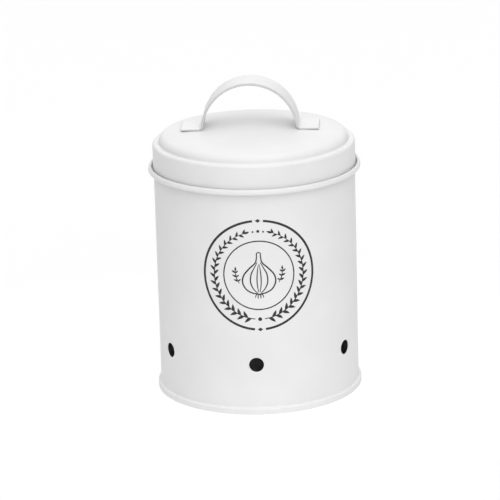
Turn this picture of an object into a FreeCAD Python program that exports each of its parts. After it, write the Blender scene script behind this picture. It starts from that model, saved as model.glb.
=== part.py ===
import FreeCAD, Part
import Sketcher
import math
import os

V = FreeCAD.Vector
doc = FreeCAD.newDocument("garlic_keeper")

# ---------------------------------------------------------------- dimensions
# Lengths in mm, angles in degrees.  Origin: centre of the foot ring, +Z up,
# the handle runs along X and one vent hole looks towards -Y.
DIMS = [
    # sheet
    ("sheet_thick", 0.5), ("seam_gap", 0.05),
    # canister wall
    ("wall_radius", 65.0), ("wall_top", 145.0), ("wall_foot", 0.55),
    ("hook_height", 3.0), ("hook_radius", 66.25), ("hook_corner", 0.4), ("hook_bend", 0.25),
    # mouth: ledge that carries the lid, upstand and folded rim
    ("ledge_top", 146.1), ("ledge_round", 0.6), ("ledge_corner", 0.4),
    ("mouth_radius", 66.3), ("fold_level", 148.3), ("fold_round", 0.95), ("fold_inner", 0.45),
    ("rim_radius", 68.5), ("rim_level", 146.95), ("rim_curl", 1.25), ("rim_curl_inner", 0.75),
    ("rim_lip", 67.2),
    # vent holes
    ("vent_dia", 9.45), ("vent_level", 33.0), ("vent_count", 6), ("punch_depth", 75.0),
    # lock seam down the back
    ("lock_turn", -30.0), ("lock_width", 6.0), ("lock_proud", 0.45), ("lock_start", 4.3), ("lock_end", 144.2),
    # foot seam and recessed bottom
    ("foot_radius", 66.8), ("foot_height", 3.8), ("foot_top_round", 0.9), ("foot_low_round", 0.5),
    ("cover_hook_end", 1.2), ("cover_hook_radius", 65.6), ("chuck_radius", 64.45),
    ("panel_level", 3.6), ("panel_round", 1.6), ("panel_step_radius", 55.0),
    ("panel_step_rise", 0.9), ("panel_step_run", 1.6),
    # lid
    ("lid_radius", 65.3), ("lid_bottom", 146.4), ("lid_apex", 172.6), ("dome_radius", 1500.0),
    ("dome_reach", 40.0), ("shoulder_round", 78.0), ("shoulder_reach", 57.3), ("edge_round", 5.0),
    ("valley_reach", 61.75), ("valley_round", 0.6), ("ridge_level", 164.5), ("ridge_round", 2.0),
    # handle
    ("strap_thick", 1.6), ("strap_width", 23.8), ("arch_radius", 31.4), ("arch_level", 171.8),
    ("foot_level", 172.3), ("foot_thick", 1.0), ("foot_reach", 44.5), ("bend_round", 1.9), ("strap_corner", 0.9),
    ("weld_reach", 38.5), ("weld_dia", 3.6), ("weld_depth", 0.2),
    ("nugget_drop_left", 0.35), ("nugget_drop_right", 0.2),
    ("handle_shift", -1.9), ("handle_back", 4.0), ("handle_turn", -1.25),
]
sheet = doc.addObject("Spreadsheet::Sheet", "Dimensions")
sheet.Label = "Dimensions"
for row, (alias, value) in enumerate(DIMS, start=1):
    sheet.set("A%d" % row, alias)
    sheet.set("B%d" % row, str(value))
    sheet.setAlias("B%d" % row, alias)
doc.recompute()
d = dict(DIMS)


def E(text):
    """Writes every dimension name in a formula as a reference to the sheet."""
    out, word = "", ""
    for ch in text + " ":
        if ch.isalnum() or ch == "_":
            word += ch
            continue
        if word:
            out += ("Dimensions." + word) if word in d else word
            word = ""
        out += ch
    return out.strip()


def val(text):
    """Value of a sum of dimension names and numbers."""
    total, sign = 0.0, 1.0
    for tok in text.replace("+", " + ").replace("-", " - ").split():
        if tok == "+":
            sign = 1.0
        elif tok == "-":
            sign = -1.0
        else:
            parts = tok.split("*")
            x = 1.0
            for p in parts:
                x *= d[p] if p in d else float(p)
            total += sign * x
            sign = 1.0
    return total


def new_body(label):
    body = doc.addObject("PartDesign::Body", label)
    body.Label = label
    return body


def plane(body, role):
    for f in body.Origin.OriginFeatures:
        if f.Role == role:
            return f
    raise RuntimeError(role)


def new_sketch(body, name, role):
    sk = body.newObject("Sketcher::SketchObject", name)
    sk.AttachmentSupport = [(plane(body, role), "")]
    sk.MapMode = "FlatFace"
    return sk


class Profile:
    """Closed chain of lines and arcs; sizes are tied to the sheet by name."""

    def __init__(self, sk):
        self.sk = sk
        self.n = 0

    def bind(self, con, text):
        i = self.sk.addConstraint(con)
        name = "c%d" % i
        self.sk.renameConstraint(i, name)
        self.sk.setExpression("Constraints." + name, E(text))

    def line(self, a, b):
        return self.sk.addGeometry(Part.LineSegment(V(a[0], a[1], 0), V(b[0], b[1], 0)), False)

    def arc(self, a, b, c, ccw):
        r = math.hypot(a[0] - c[0], a[1] - c[1])
        a0 = math.atan2(a[1] - c[1], a[0] - c[0])
        a1 = math.atan2(b[1] - c[1], b[0] - c[0])
        if not ccw:
            a0, a1 = a1, a0
        if a1 < a0:
            a1 += 2 * math.pi
        return self.sk.addGeometry(
            Part.ArcOfCircle(Part.Circle(V(c[0], c[1], 0), V(0, 0, 1), r), a0, a1), False)

    def chain(self, verts, segs):
        """verts: (x text, z text).  segs[i] joins vertex i to i+1: None for a
        straight run, (cx text, cz text, ccw, radius text) for an arc."""
        k = len(verts)
        P = [(val(x), val(z)) for x, z in verts]
        ids = []
        for i in range(k):
            a, b = P[i], P[(i + 1) % k]
            if segs[i] is None:
                ids.append((self.line(a, b), 1, 2))
            else:
                cx, cz, ccw, rad = segs[i]
                g = self.arc(a, b, (val(cx), val(cz)), ccw)
                ids.append((g, 1, 2) if ccw else (g, 2, 1))
        for i in range(k):
            g0, g1 = ids[i], ids[(i + 1) % k]
            self.sk.addConstraint(Sketcher.Constraint("Coincident", g0[0], g0[2], g1[0], g1[1]))
        for i in range(k):
            g = ids[i]
            for kind, text in (("DistanceX", verts[i][0]), ("DistanceY", verts[i][1])):
                if abs(val(text)) < 1e-9:
                    axis = -2 if kind == "DistanceX" else -1
                    self.sk.addConstraint(Sketcher.Constraint("PointOnObject", g[0], g[1], axis))
                else:
                    self.bind(Sketcher.Constraint(kind, g[0], g[1], val(text)), text)
        for i in range(k):
            if segs[i] is not None:
                self.bind(Sketcher.Constraint("Radius", ids[i][0], val(segs[i][3])), segs[i][3])
        return ids


def revolve(body, sk, name):
    rev = body.newObject("PartDesign::Revolution", name)
    rev.Profile = sk
    rev.ReferenceAxis = (sk, ["V_Axis"])
    rev.Angle = 360.0
    doc.recompute()
    return rev


# ---------------------------------------------------------------- body_wall
# One rolled sheet: hook at the foot, plain wall, ledge, upstand, folded rim.
wall = new_body("body_wall")
wsk = new_sketch(wall, "WallSection", "XZ_Plane")
pr = Profile(wsk)
T = "sheet_thick"

# the rim flap: two arcs that meet the fold and hang down to the curl
fx, fz, fr = d["mouth_radius"] + d["fold_round"], d["fold_level"], d["fold_round"]
ex, ez = d["rim_radius"], d["rim_level"]


def flap(fr, ex):
    # arc centred level with the curl, touching the fold arc from outside
    # (cx, ez), radius ex - cx;  distance to the fold centre = radius - fr
    lo, hi = ex - 60.0, ex - 2.0
    for _ in range(80):
        cx = (lo + hi) / 2
        if math.hypot(fx - cx, fz - ez) > (ex - cx) - fr:
            hi = cx
        else:
            lo = cx
    ang = math.atan2(fz - ez, fx - cx)
    return cx, ex - cx, (cx + (ex - cx) * math.cos(ang), ez + (ex - cx) * math.sin(ang))


cx_o, r_o, j_o = flap(d["fold_round"], d["rim_radius"])
cx_i, r_i, j_i = flap(d["fold_inner"], d["rim_radius"] - d["sheet_thick"])
DIM_EXTRA = {"flap_join_x": round(j_o[0], 4), "flap_join_z": round(j_o[1], 4), "flap_round": round(r_o, 4),
             "flapin_join_x": round(j_i[0], 4), "flapin_join_z": round(j_i[1], 4), "flapin_round": round(r_i, 4),
             "flap_centre_x": round(cx_o, 4), "flapin_centre_x": round(cx_i, 4)}
row = len(DIMS)
for alias, value in DIM_EXTRA.items():
    row += 1
    sheet.set("A%d" % row, alias)
    sheet.set("B%d" % row, str(value))
    sheet.setAlias("B%d" % row, alias)
d.update(DIM_EXTRA)
doc.recompute()

verts = [
    ("hook_radius-sheet_thick", "hook_height"),
    ("hook_radius", "hook_height"),
    ("hook_radius", "wall_foot+hook_corner"),
    ("hook_radius-hook_corner", "wall_foot"),
    ("wall_radius-sheet_thick+hook_corner", "wall_foot"),
    ("wall_radius-sheet_thick", "wall_foot+hook_corner"),
    ("wall_radius-sheet_thick", "ledge_top-ledge_round"),
    ("wall_radius-sheet_thick+ledge_round", "ledge_top"),
    ("mouth_radius-ledge_corner", "ledge_top"),
    ("mouth_radius", "ledge_top+ledge_corner"),
    ("mouth_radius", "fold_level"),
    ("flap_join_x", "flap_join_z"),
    ("rim_radius", "rim_level"),
    ("rim_radius-rim_curl", "rim_level-rim_curl"),
    ("rim_lip", "rim_level-rim_curl"),
    ("rim_lip", "rim_level-rim_curl+0.4"),
    ("rim_radius-sheet_thick-rim_curl_inner", "rim_level-rim_curl_inner"),
    ("rim_radius-sheet_thick", "rim_level"),
    ("flapin_join_x", "flapin_join_z"),
    ("mouth_radius+sheet_thick", "fold_level"),
    ("mouth_radius+sheet_thick", "ledge_top-sheet_thick+ledge_round"),
    ("mouth_radius+sheet_thick-ledge_round", "ledge_top-sheet_thick"),
    ("wall_radius+ledge_round", "ledge_top-sheet_thick"),
    ("wall_radius", "wall_top"),
    ("wall_radius", "wall_foot+sheet_thick+hook_bend"),
    ("wall_radius+hook_bend", "wall_foot+sheet_thick"),
    ("hook_radius-sheet_thick-hook_bend", "wall_foot+sheet_thick"),
    ("hook_radius-sheet_thick", "wall_foot+sheet_thick+hook_bend"),
]
segs = [None] * len(verts)
segs[2] = ("hook_radius-hook_corner", "wall_foot+hook_corner", False, "hook_corner")
segs[4] = ("wall_radius-sheet_thick+hook_corner", "wall_foot+hook_corner", False, "hook_corner")
segs[6] = ("wall_radius-sheet_thick+ledge_round", "ledge_top-ledge_round", False, "ledge_round")
segs[8] = ("mouth_radius-ledge_corner", "ledge_top+ledge_corner", True, "ledge_corner")
segs[10] = ("mouth_radius+fold_round", "fold_level", False, "fold_round")
segs[11] = ("flap_centre_x", "rim_level", False, "flap_round")
segs[12] = ("rim_radius-rim_curl", "rim_level", False, "rim_curl")
segs[16] = ("rim_radius-sheet_thick-rim_curl_inner", "rim_level", True, "rim_curl_inner")
segs[17] = ("flapin_centre_x", "rim_level", True, "flapin_round")
segs[18] = ("mouth_radius+fold_round", "fold_level", True, "fold_inner")
segs[20] = ("mouth_radius+sheet_thick-ledge_round", "ledge_top-sheet_thick+ledge_round", False, "ledge_round")
segs[22] = ("wall_radius+ledge_round", "wall_top", True, "ledge_round")
segs[24] = ("wall_radius+hook_bend", "wall_foot+sheet_thick+hook_bend", True, "hook_bend")
segs[26] = ("hook_radius-sheet_thick-hook_bend", "wall_foot+sheet_thick+hook_bend", True, "hook_bend")
pr.chain(verts, segs)
doc.recompute()
wall_rev = revolve(wall, wsk, "WallSheet")
vol_wall = wall.Shape.Volume

# lock seam: a narrow doubled strip down the back of the wall, halfway
# between two vent holes
lsk = new_sketch(wall, "LockSeamPlan", "XY_Plane")
p2 = Profile(lsk)
y0, y1, hw = d["wall_radius"] - 0.3, d["wall_radius"] + d["lock_proud"], d["lock_width"] / 2
g = [p2.line((-hw, y0), (hw, y0)), p2.line((hw, y0), (hw, y1)),
     p2.line((hw, y1), (-hw, y1)), p2.line((-hw, y1), (-hw, y0))]
for i in range(4):
    lsk.addConstraint(Sketcher.Constraint("Coincident", g[i], 2, g[(i + 1) % 4], 1))
lsk.addConstraint(Sketcher.Constraint("Horizontal", g[2]))
lsk.addConstraint(Sketcher.Constraint("Vertical", g[1]))
lsk.addConstraint(Sketcher.Constraint("Vertical", g[3]))
lsk.addConstraint(Sketcher.Constraint("Symmetric", g[0], 1, g[0], 2, -2))
p2.bind(Sketcher.Constraint("DistanceX", g[0], 1, g[0], 2, d["lock_width"]), "lock_width")
p2.bind(Sketcher.Constraint("DistanceY", g[0], 1, y0), "wall_radius-0.3")
p2.bind(Sketcher.Constraint("DistanceY", g[2], 1, y1), "wall_radius+lock_proud")
lsk.AttachmentOffset = FreeCAD.Placement(V(0, 0, d["lock_start"]), FreeCAD.Rotation(V(0, 0, 1), d["lock_turn"]))
lsk.setExpression("AttachmentOffset.Base.z", E("lock_start"))
lsk.setExpression("AttachmentOffset.Rotation.Angle", E("lock_turn"))
doc.recompute()
assert lsk.solve() == 0
lock = wall.newObject("PartDesign::Pad", "LockSeam")
lock.Profile = lsk
lock.Length = d["lock_end"] - d["lock_start"]
lock.setExpression("Length", E("lock_end - lock_start"))
doc.recompute()
vol_lock = wall.Shape.Volume
assert vol_lock > vol_wall, "lock seam adds nothing"

# vent holes: one punched towards -Y, repeated round the axis
vsk = new_sketch(wall, "VentCircle", "XZ_Plane")
p3 = Profile(vsk)
c = vsk.addGeometry(Part.Circle(V(0, d["vent_level"], 0), V(0, 0, 1), d["vent_dia"] / 2), False)
vsk.addConstraint(Sketcher.Constraint("PointOnObject", c, 3, -2))
p3.bind(Sketcher.Constraint("DistanceY", c, 3, d["vent_level"]), "vent_level")
p3.bind(Sketcher.Constraint("Diameter", c, d["vent_dia"]), "vent_dia")
doc.recompute()
vent = wall.newObject("PartDesign::Pocket", "VentPunch")
vent.Profile = vsk
vent.Type = 0
vent.Length = d["punch_depth"]
vent.setExpression("Length", E("punch_depth"))
normal = vsk.Placement.Rotation.multVec(V(0, 0, 1))
vent.Reversed = normal.y < 0
doc.recompute()
vol_one = wall.Shape.Volume
ring = wall.newObject("PartDesign::PolarPattern", "VentRow")
ring.Originals = [vent]
ring.Axis = (vsk, ["V_Axis"])
ring.Angle = 360.0
ring.Occurrences = int(d["vent_count"])
ring.setExpression("Occurrences", E("vent_count"))
wall.Tip = ring
doc.recompute()
one = vol_lock - vol_one
allh = vol_lock - wall.Shape.Volume
plug = math.pi * d["vent_dia"] ** 2 / 4 * d["sheet_thick"]
print("vent volumes", round(one, 2), round(allh, 2), round(plug, 2))
assert abs(one - plug) < 0.1 * plug and abs(allh - 6 * one) < 1.0

# ---------------------------------------------------------------- base_disc
# Pressed bottom: recessed panel, wall down to the foot, double seam round it.
base = new_body("base_disc")
bsk = new_sketch(base, "BaseSection", "XZ_Plane")
pb = Profile(bsk)
bv = [
    ("0", "panel_level+panel_step_rise"),
    ("panel_step_radius", "panel_level+panel_step_rise"),
    ("panel_step_radius+panel_step_run", "panel_level"),
    ("chuck_radius-sheet_thick-panel_round", "panel_level"),
    ("chuck_radius-sheet_thick", "panel_level-panel_round"),
    ("chuck_radius-sheet_thick", "foot_low_round"),
    ("chuck_radius-sheet_thick+foot_low_round", "0"),
    ("foot_radius-foot_low_round", "0"),
    ("foot_radius", "foot_low_round"),
    ("foot_radius", "foot_height-foot_top_round"),
    ("foot_radius-foot_top_round", "foot_height"),
    ("cover_hook_radius-sheet_thick+0.4", "foot_height"),
    ("cover_hook_radius-sheet_thick", "foot_height-0.4"),
    ("cover_hook_radius-sheet_thick", "cover_hook_end"),
    ("cover_hook_radius", "cover_hook_end"),
    ("cover_hook_radius", "foot_height-sheet_thick"),
    ("foot_radius-foot_top_round", "foot_height-sheet_thick"),
    ("foot_radius-sheet_thick", "foot_height-foot_top_round"),
    ("foot_radius-sheet_thick", "sheet_thick"),
    ("chuck_radius", "sheet_thick"),
    ("chuck_radius", "panel_level-panel_round"),
    ("chuck_radius-sheet_thick-panel_round", "panel_level+sheet_thick"),
    ("panel_step_radius+panel_step_run", "panel_level+sheet_thick"),
    ("panel_step_radius", "panel_level+panel_step_rise+sheet_thick"),
    ("0", "panel_level+panel_step_rise+sheet_thick"),
]
bs = [None] * len(bv)
bs[3] = ("chuck_radius-sheet_thick-panel_round", "panel_level-panel_round", False, "panel_round")
bs[5] = ("chuck_radius-sheet_thick+foot_low_round", "foot_low_round", True, "foot_low_round")
bs[7] = ("foot_radius-foot_low_round", "foot_low_round", True, "foot_low_round")
bs[9] = ("foot_radius-foot_top_round", "foot_height-foot_top_round", True, "foot_top_round")
bs[11] = ("cover_hook_radius-sheet_thick+0.4", "foot_height-0.4", True, "0.4")
bs[16] = ("foot_radius-foot_top_round", "foot_height-foot_top_round", False, "foot_top_round-sheet_thick")
bs[20] = ("chuck_radius-sheet_thick-panel_round", "panel_level-panel_round", True, "panel_round+sheet_thick")
pb.chain(bv, bs)
doc.recompute()
base_rev = revolve(base, bsk, "BasePressing")

# ---------------------------------------------------------------- lid_shell
# One pressing: flat dome, round shoulder, steep edge, narrow valley, ridge, skirt.
lid = new_body("lid_shell")
C = Sketcher.Constraint


def lid_outline(sk, inset, bottom, bottom_text):
    """Half section down to the skirt's lower edge; inset 0 is the outside
    face, inset 1 the face one sheet thickness inside it."""
    p = Profile(sk)
    t = d["sheet_thick"] * inset
    less = " - sheet_thick" if inset else ""
    more = " + sheet_thick" if inset else ""
    Rc, zt = d["dome_radius"] - t, d["lid_apex"] - t
    x1 = d["dome_reach"] * Rc / d["dome_radius"]
    ca = (0.0, zt - Rc)
    t1 = math.asin(x1 / Rc)
    P0 = (0.0, zt)
    P1 = (x1, ca[1] + Rc * math.cos(t1))
    Rb = d["shoulder_round"] - t
    cb = (P1[0] - Rb * math.sin(t1), P1[1] - Rb * math.cos(t1))
    # the shoulder ends at shoulder_reach on the outside face; the tighter edge
    # round goes on from there
    tb = math.asin((d["shoulder_reach"] - cb[0]) / d["shoulder_round"])
    P2 = (cb[0] + Rb * math.sin(tb), cb[1] + Rb * math.cos(tb))
    Re = d["edge_round"] - t
    ce = (P2[0] - Re * math.sin(tb), P2[1] - Re * math.cos(tb))
    # ridge circle, and the valley circle that touches it from outside
    Rr = d["ridge_round"] - t
    cr = (d["lid_radius"] - d["ridge_round"], d["ridge_level"] - d["ridge_round"])
    Rd = d["valley_round"] + t
    cd = (d["valley_reach"], cr[1] + math.sqrt((Rr + Rd) ** 2 - (cr[0] - d["valley_reach"]) ** 2))
    # straight drop: the line that touches edge and valley circles crosswise
    dx, dz = cd[0] - ce[0], cd[1] - ce[1]
    off = math.acos((Re + Rd) / math.hypot(dx, dz))
    ang = math.atan2(dz, dx)
    na = ang + off
    P3 = (ce[0] + Re * math.cos(na), ce[1] + Re * math.sin(na))
    P4 = (cd[0] - Rd * math.cos(na), cd[1] - Rd * math.sin(na))
    P5 = (cd[0] + (cr[0] - cd[0]) * Rd / (Rr + Rd), cd[1] + (cr[1] - cd[1]) * Rd / (Rr + Rd))
    P6 = (d["lid_radius"] - t, cr[1])
    P7 = (P6[0], bottom)
    P8 = (0.0, bottom)
    gA = p.arc(P0, P1, ca, False)
    gB = p.arc(P1, P2, cb, False)
    gN = p.arc(P2, P3, ce, False)
    gC = p.line(P3, P4)
    gD = p.arc(P4, P5, cd, True)
    gE = p.arc(P5, P6, cr, False)
    gF = p.line(P6, P7)
    gG = p.line(P7, P8)
    gH = p.line(P8, P0)
    sk.addConstraint([
        C("Tangent", gA, 1, gB, 2), C("Tangent", gB, 1, gN, 2), C("Tangent", gN, 1, gC, 1),
        C("Tangent", gC, 2, gD, 1), C("Tangent", gD, 2, gE, 2), C("Tangent", gE, 1, gF, 1),
        C("Coincident", gF, 2, gG, 1), C("Coincident", gG, 2, gH, 1), C("Coincident", gH, 2, gA, 2),
        C("Horizontal", gG), C("Vertical", gF), C("PointOnObject", gH, 1, -2),
        C("PointOnObject", gA, 2, -2), C("PointOnObject", gA, 3, -2),
    ])
    p.bind(C("DistanceY", gA, 2, zt), "lid_apex" + less)
    p.bind(C("Radius", gA, Rc), "dome_radius" + less)
    p.bind(C("DistanceX", gB, 2, x1),
           "dome_reach * (dome_radius - sheet_thick) / dome_radius" if inset else "dome_reach")
    p.bind(C("Radius", gB, Rb), "shoulder_round" + less)
    hub = "dome_reach * (1 - shoulder_round / dome_radius)"
    p.bind(C("DistanceX", gN, 2, P2[0]),
           "%s + (shoulder_reach - %s) * (shoulder_round - sheet_thick) / shoulder_round" % (hub, hub)
           if inset else "shoulder_reach")
    p.bind(C("Radius", gN, Re), "edge_round" + less)
    p.bind(C("Radius", gD, Rd), "valley_round" + more)
    p.bind(C("DistanceX", gD, 3, cd[0]), "valley_reach")
    p.bind(C("Radius", gE, Rr), "ridge_round" + less)
    p.bind(C("DistanceY", gE, 3, cr[1]), "ridge_level - ridge_round")
    p.bind(C("DistanceX", gF, 2, P7[0]), "lid_radius" + less)
    p.bind(C("DistanceY", gF, 2, bottom), bottom_text)
    doc.recompute()
    assert sk.solve() == 0
    return (P1, P2, P3, P4, P5, P6)


kk = new_sketch(lid, "LidSection", "XZ_Plane")
print("lid joints", [tuple(round(q, 2) for q in p) for p in lid_outline(kk, 0, d["lid_bottom"], "lid_bottom")])
lid_rev = revolve(lid, kk, "LidBlank")
vol_blank = lid.Shape.Volume
ki = new_sketch(lid, "LidInside", "XZ_Plane")
lid_outline(ki, 1, d["lid_bottom"] - 1.0, "lid_bottom - 1")
hollow = lid.newObject("PartDesign::Groove", "LidHollow")
hollow.Profile = ki
hollow.ReferenceAxis = (ki, ["V_Axis"])
hollow.Angle = 360.0
lid.Tip = hollow
doc.recompute()
print("lid volumes", round(vol_blank, 1), round(lid.Shape.Volume, 1))
assert 0.02 * vol_blank < lid.Shape.Volume < 0.1 * vol_blank

# ---------------------------------------------------------------- handle_strap
# Flat strip bent to a half-round arch with two level feet; the feet are
# pressed thinner than the arch.
strap = new_body("handle_strap")
hk = new_sketch(strap, "StrapSide", "XZ_Plane")
ph = Profile(hk)
Ro, zc, tt, rb = d["arch_radius"], d["arch_level"], d["strap_thick"], d["bend_round"]
Ri = Ro - tt
ft, fb = d["foot_level"] + d["foot_thick"], d["foot_level"]
xb = math.sqrt((Ro + rb) ** 2 - (ft + rb - zc) ** 2)
cbend = (xb, ft + rb)
ua = (cbend[0] / (Ro + rb), (cbend[1] - zc) / (Ro + rb))
xi = math.sqrt((Ro + rb) ** 2 - (fb + rb + tt - zc) ** 2)
cunder = (xi, fb + rb + tt)
ui = (cunder[0] / (Ro + rb), (cunder[1] - zc) / (Ro + rb))
Q1 = (Ro * ua[0], zc + Ro * ua[1])
Q2 = (xb, ft)
Q3 = (d["foot_reach"], ft)
Q4 = (d["foot_reach"], fb)
Q5 = (xi, fb)
Q6 = (Ri * ui[0], zc + Ri * ui[1])
m = lambda q: (-q[0], q[1])
# right side, going round anticlockwise seen from the front
a_out = ph.arc(Q1, m(Q1), (0, zc), True)
b_l = ph.arc(m(Q1), m(Q2), m(cbend), False)
t_l = ph.line(m(Q2), m(Q3))
e_l = ph.line(m(Q3), m(Q4))
u_l = ph.line(m(Q4), m(Q5))
i_l = ph.arc(m(Q5), m(Q6), m(cunder), True)
a_in = ph.arc(m(Q6), Q6, (0, zc), False)
i_r = ph.arc(Q6, Q5, cunder, True)
u_r = ph.line(Q5, Q4)
e_r = ph.line(Q4, Q3)
t_r = ph.line(Q3, Q2)
b_r = ph.arc(Q2, Q1, cbend, False)
hk.addConstraint([
    C("Tangent", a_out, 2, b_l, 2), C("Tangent", b_l, 1, t_l, 1), C("Coincident", t_l, 2, e_l, 1),
    C("Coincident", e_l, 2, u_l, 1), C("Tangent", u_l, 2, i_l, 1), C("Tangent", i_l, 2, a_in, 2),
    C("Tangent", a_in, 1, i_r, 1), C("Tangent", i_r, 2, u_r, 1), C("Coincident", u_r, 2, e_r, 1),
    C("Coincident", e_r, 2, t_r, 1), C("Tangent", t_r, 2, b_r, 2), C("Tangent", b_r, 1, a_out, 1),
    C("Horizontal", t_l), C("Horizontal", u_l), C("Horizontal", t_r), C("Horizontal", u_r),
    C("Vertical", e_l), C("Vertical", e_r),
    C("PointOnObject", a_out, 3, -2), C("Coincident", a_in, 3, a_out, 3),
])
ph.bind(C("DistanceY", a_out, 3, zc), "arch_level")
ph.bind(C("Radius", a_out, Ro), "arch_radius")
ph.bind(C("Radius", a_in, Ri), "arch_radius-strap_thick")
ph.bind(C("Radius", b_l, rb), "bend_round")
ph.bind(C("Radius", b_r, rb), "bend_round")
ph.bind(C("Radius", i_l, rb + tt), "bend_round+strap_thick")
ph.bind(C("Radius", i_r, rb + tt), "bend_round+strap_thick")
ph.bind(C("DistanceY", e_l, 1, ft), "foot_level+foot_thick")
ph.bind(C("DistanceY", e_r, 2, ft), "foot_level+foot_thick")
ph.bind(C("DistanceY", e_l, 2, fb), "foot_level")
ph.bind(C("DistanceY", e_r, 1, fb), "foot_level")
ph.bind(C("DistanceX", e_r, 1, d["foot_reach"]), "foot_reach")
ph.bind(C("DistanceX", e_l, 1, -d["foot_reach"]), "-foot_reach")
doc.recompute()
pad = strap.newObject("PartDesign::Pad", "StrapStrip")
pad.Profile = hk
pad.Length = d["strap_width"]
pad.setExpression("Length", E("strap_width"))
if "SideType" in pad.PropertiesList:
    pad.SideType = "Symmetric"
else:
    pad.Midplane = True
doc.recompute()
corner = []
for i, e in enumerate(pad.Shape.Edges, start=1):
    a, b = e.Vertexes[0].Point, e.Vertexes[-1].Point
    if abs(abs(a.x) - d["foot_reach"]) < 1e-4 and abs(abs(b.x) - d["foot_reach"]) < 1e-4 \
            and abs(a.y - b.y) < 1e-6 and abs(a.z - b.z) > 0.5:
        corner.append("Edge%d" % i)
fil = strap.newObject("PartDesign::Fillet", "FootCorners")
fil.Base = (pad, corner)
fil.Radius = d["strap_corner"]
fil.setExpression("Radius", E("strap_corner"))
strap.Tip = fil
doc.recompute()
vol_strap = strap.Shape.Volume
# shallow spot-weld dimples in the feet
wk = new_sketch(strap, "WeldSpots", "XY_Plane")
pw = Profile(wk)
for sgn, text in ((1, "weld_reach"), (-1, "-weld_reach")):
    c = wk.addGeometry(Part.Circle(V(sgn * d["weld_reach"], 0, 0), V(0, 0, 1), d["weld_dia"] / 2), False)
    wk.addConstraint(C("PointOnObject", c, 3, -1))
    pw.bind(C("DistanceX", c, 3, sgn * d["weld_reach"]), text)
    pw.bind(C("Diameter", c, d["weld_dia"]), "weld_dia")
wk.setExpression("AttachmentOffset.Base.z", E("foot_level + foot_thick"))
doc.recompute()
weld = strap.newObject("PartDesign::Pocket", "WeldDimples")
weld.Profile = wk
weld.Type = 0
weld.Length = d["weld_depth"]
weld.setExpression("Length", E("weld_depth"))
weld.Reversed = False
strap.Tip = weld
doc.recompute()
cut = vol_strap - strap.Shape.Volume
want = 2 * math.pi * d["weld_dia"] ** 2 / 4 * d["weld_depth"]
print("weld volumes", round(cut, 3), round(want, 3))
assert abs(cut - want) < 0.1 * want
# weld nuggets: each foot reaches down to the falling dome at its weld
for side, sgn, text in (("Left", -1, "-weld_reach"), ("Right", 1, "weld_reach")):
    drop = "nugget_drop_" + side.lower()
    nk = new_sketch(strap, "Nugget" + side, "XY_Plane")
    pn = Profile(nk)
    c = nk.addGeometry(Part.Circle(V(sgn * d["weld_reach"], 0, 0), V(0, 0, 1), d["weld_dia"] / 2), False)
    nk.addConstraint(C("PointOnObject", c, 3, -1))
    pn.bind(C("DistanceX", c, 3, sgn * d["weld_reach"]), text)
    pn.bind(C("Diameter", c, d["weld_dia"]), "weld_dia")
    nk.setExpression("AttachmentOffset.Base.z", E("foot_level"))
    doc.recompute()
    before = strap.Shape.Volume
    nugget = strap.newObject("PartDesign::Pad", "WeldNugget" + side)
    nugget.Profile = nk
    nugget.Length = d[drop]
    nugget.setExpression("Length", E(drop))
    nugget.Reversed = True
    strap.Tip = nugget
    doc.recompute()
    grown = strap.Shape.Volume - before
    full = math.pi * d["weld_dia"] ** 2 / 4 * d[drop]
    print("nugget", side, round(grown, 3), round(full, 3))
    assert abs(grown - full) < 0.05 * full
strap.setExpression("Placement.Base.x", E("handle_shift"))
strap.setExpression("Placement.Base.y", E("handle_back"))
strap.setExpression("Placement.Rotation.Angle", E("handle_turn"))
doc.recompute()

# ---------------------------------------------------------------- write
bodies = [wall, base, lid, strap]
for ob in doc.Objects:
    state = [str(x) for x in ob.State]
    if "Invalid" in state or "Error" in state:
        raise RuntimeError("%s: %s" % (ob.Name, state))
os.makedirs("parts", exist_ok=True)
for b in bodies:
    s = b.Shape
    if s.isNull() or not s.isValid() or len(s.Solids) != 1:
        raise RuntimeError("%s is not one valid solid" % b.Label)
    bb = s.BoundBox
    print(b.Label, "volume", round(s.Volume, 1), "x", round(bb.XMin, 2), round(bb.XMax, 2),
          "y", round(bb.YMin, 2), round(bb.YMax, 2), "z", round(bb.ZMin, 2), round(bb.ZMax, 2))
    s.exportStep("parts/%s.step" % b.Label)
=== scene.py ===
import math
import bmesh
import bpy
import numpy as np
from mathutils import Vector, Matrix


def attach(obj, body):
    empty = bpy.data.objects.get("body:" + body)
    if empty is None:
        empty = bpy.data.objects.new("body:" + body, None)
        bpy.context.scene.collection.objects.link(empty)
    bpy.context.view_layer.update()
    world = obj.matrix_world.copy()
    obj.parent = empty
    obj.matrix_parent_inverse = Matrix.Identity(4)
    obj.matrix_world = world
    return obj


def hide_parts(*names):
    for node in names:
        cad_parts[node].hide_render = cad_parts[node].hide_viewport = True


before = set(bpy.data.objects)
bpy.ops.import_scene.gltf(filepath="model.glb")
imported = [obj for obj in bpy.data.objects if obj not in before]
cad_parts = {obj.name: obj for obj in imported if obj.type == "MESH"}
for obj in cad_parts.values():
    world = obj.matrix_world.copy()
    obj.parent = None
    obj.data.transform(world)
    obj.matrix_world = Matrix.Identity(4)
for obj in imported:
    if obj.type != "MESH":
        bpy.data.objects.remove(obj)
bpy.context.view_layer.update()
MM = 0.001


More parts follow.
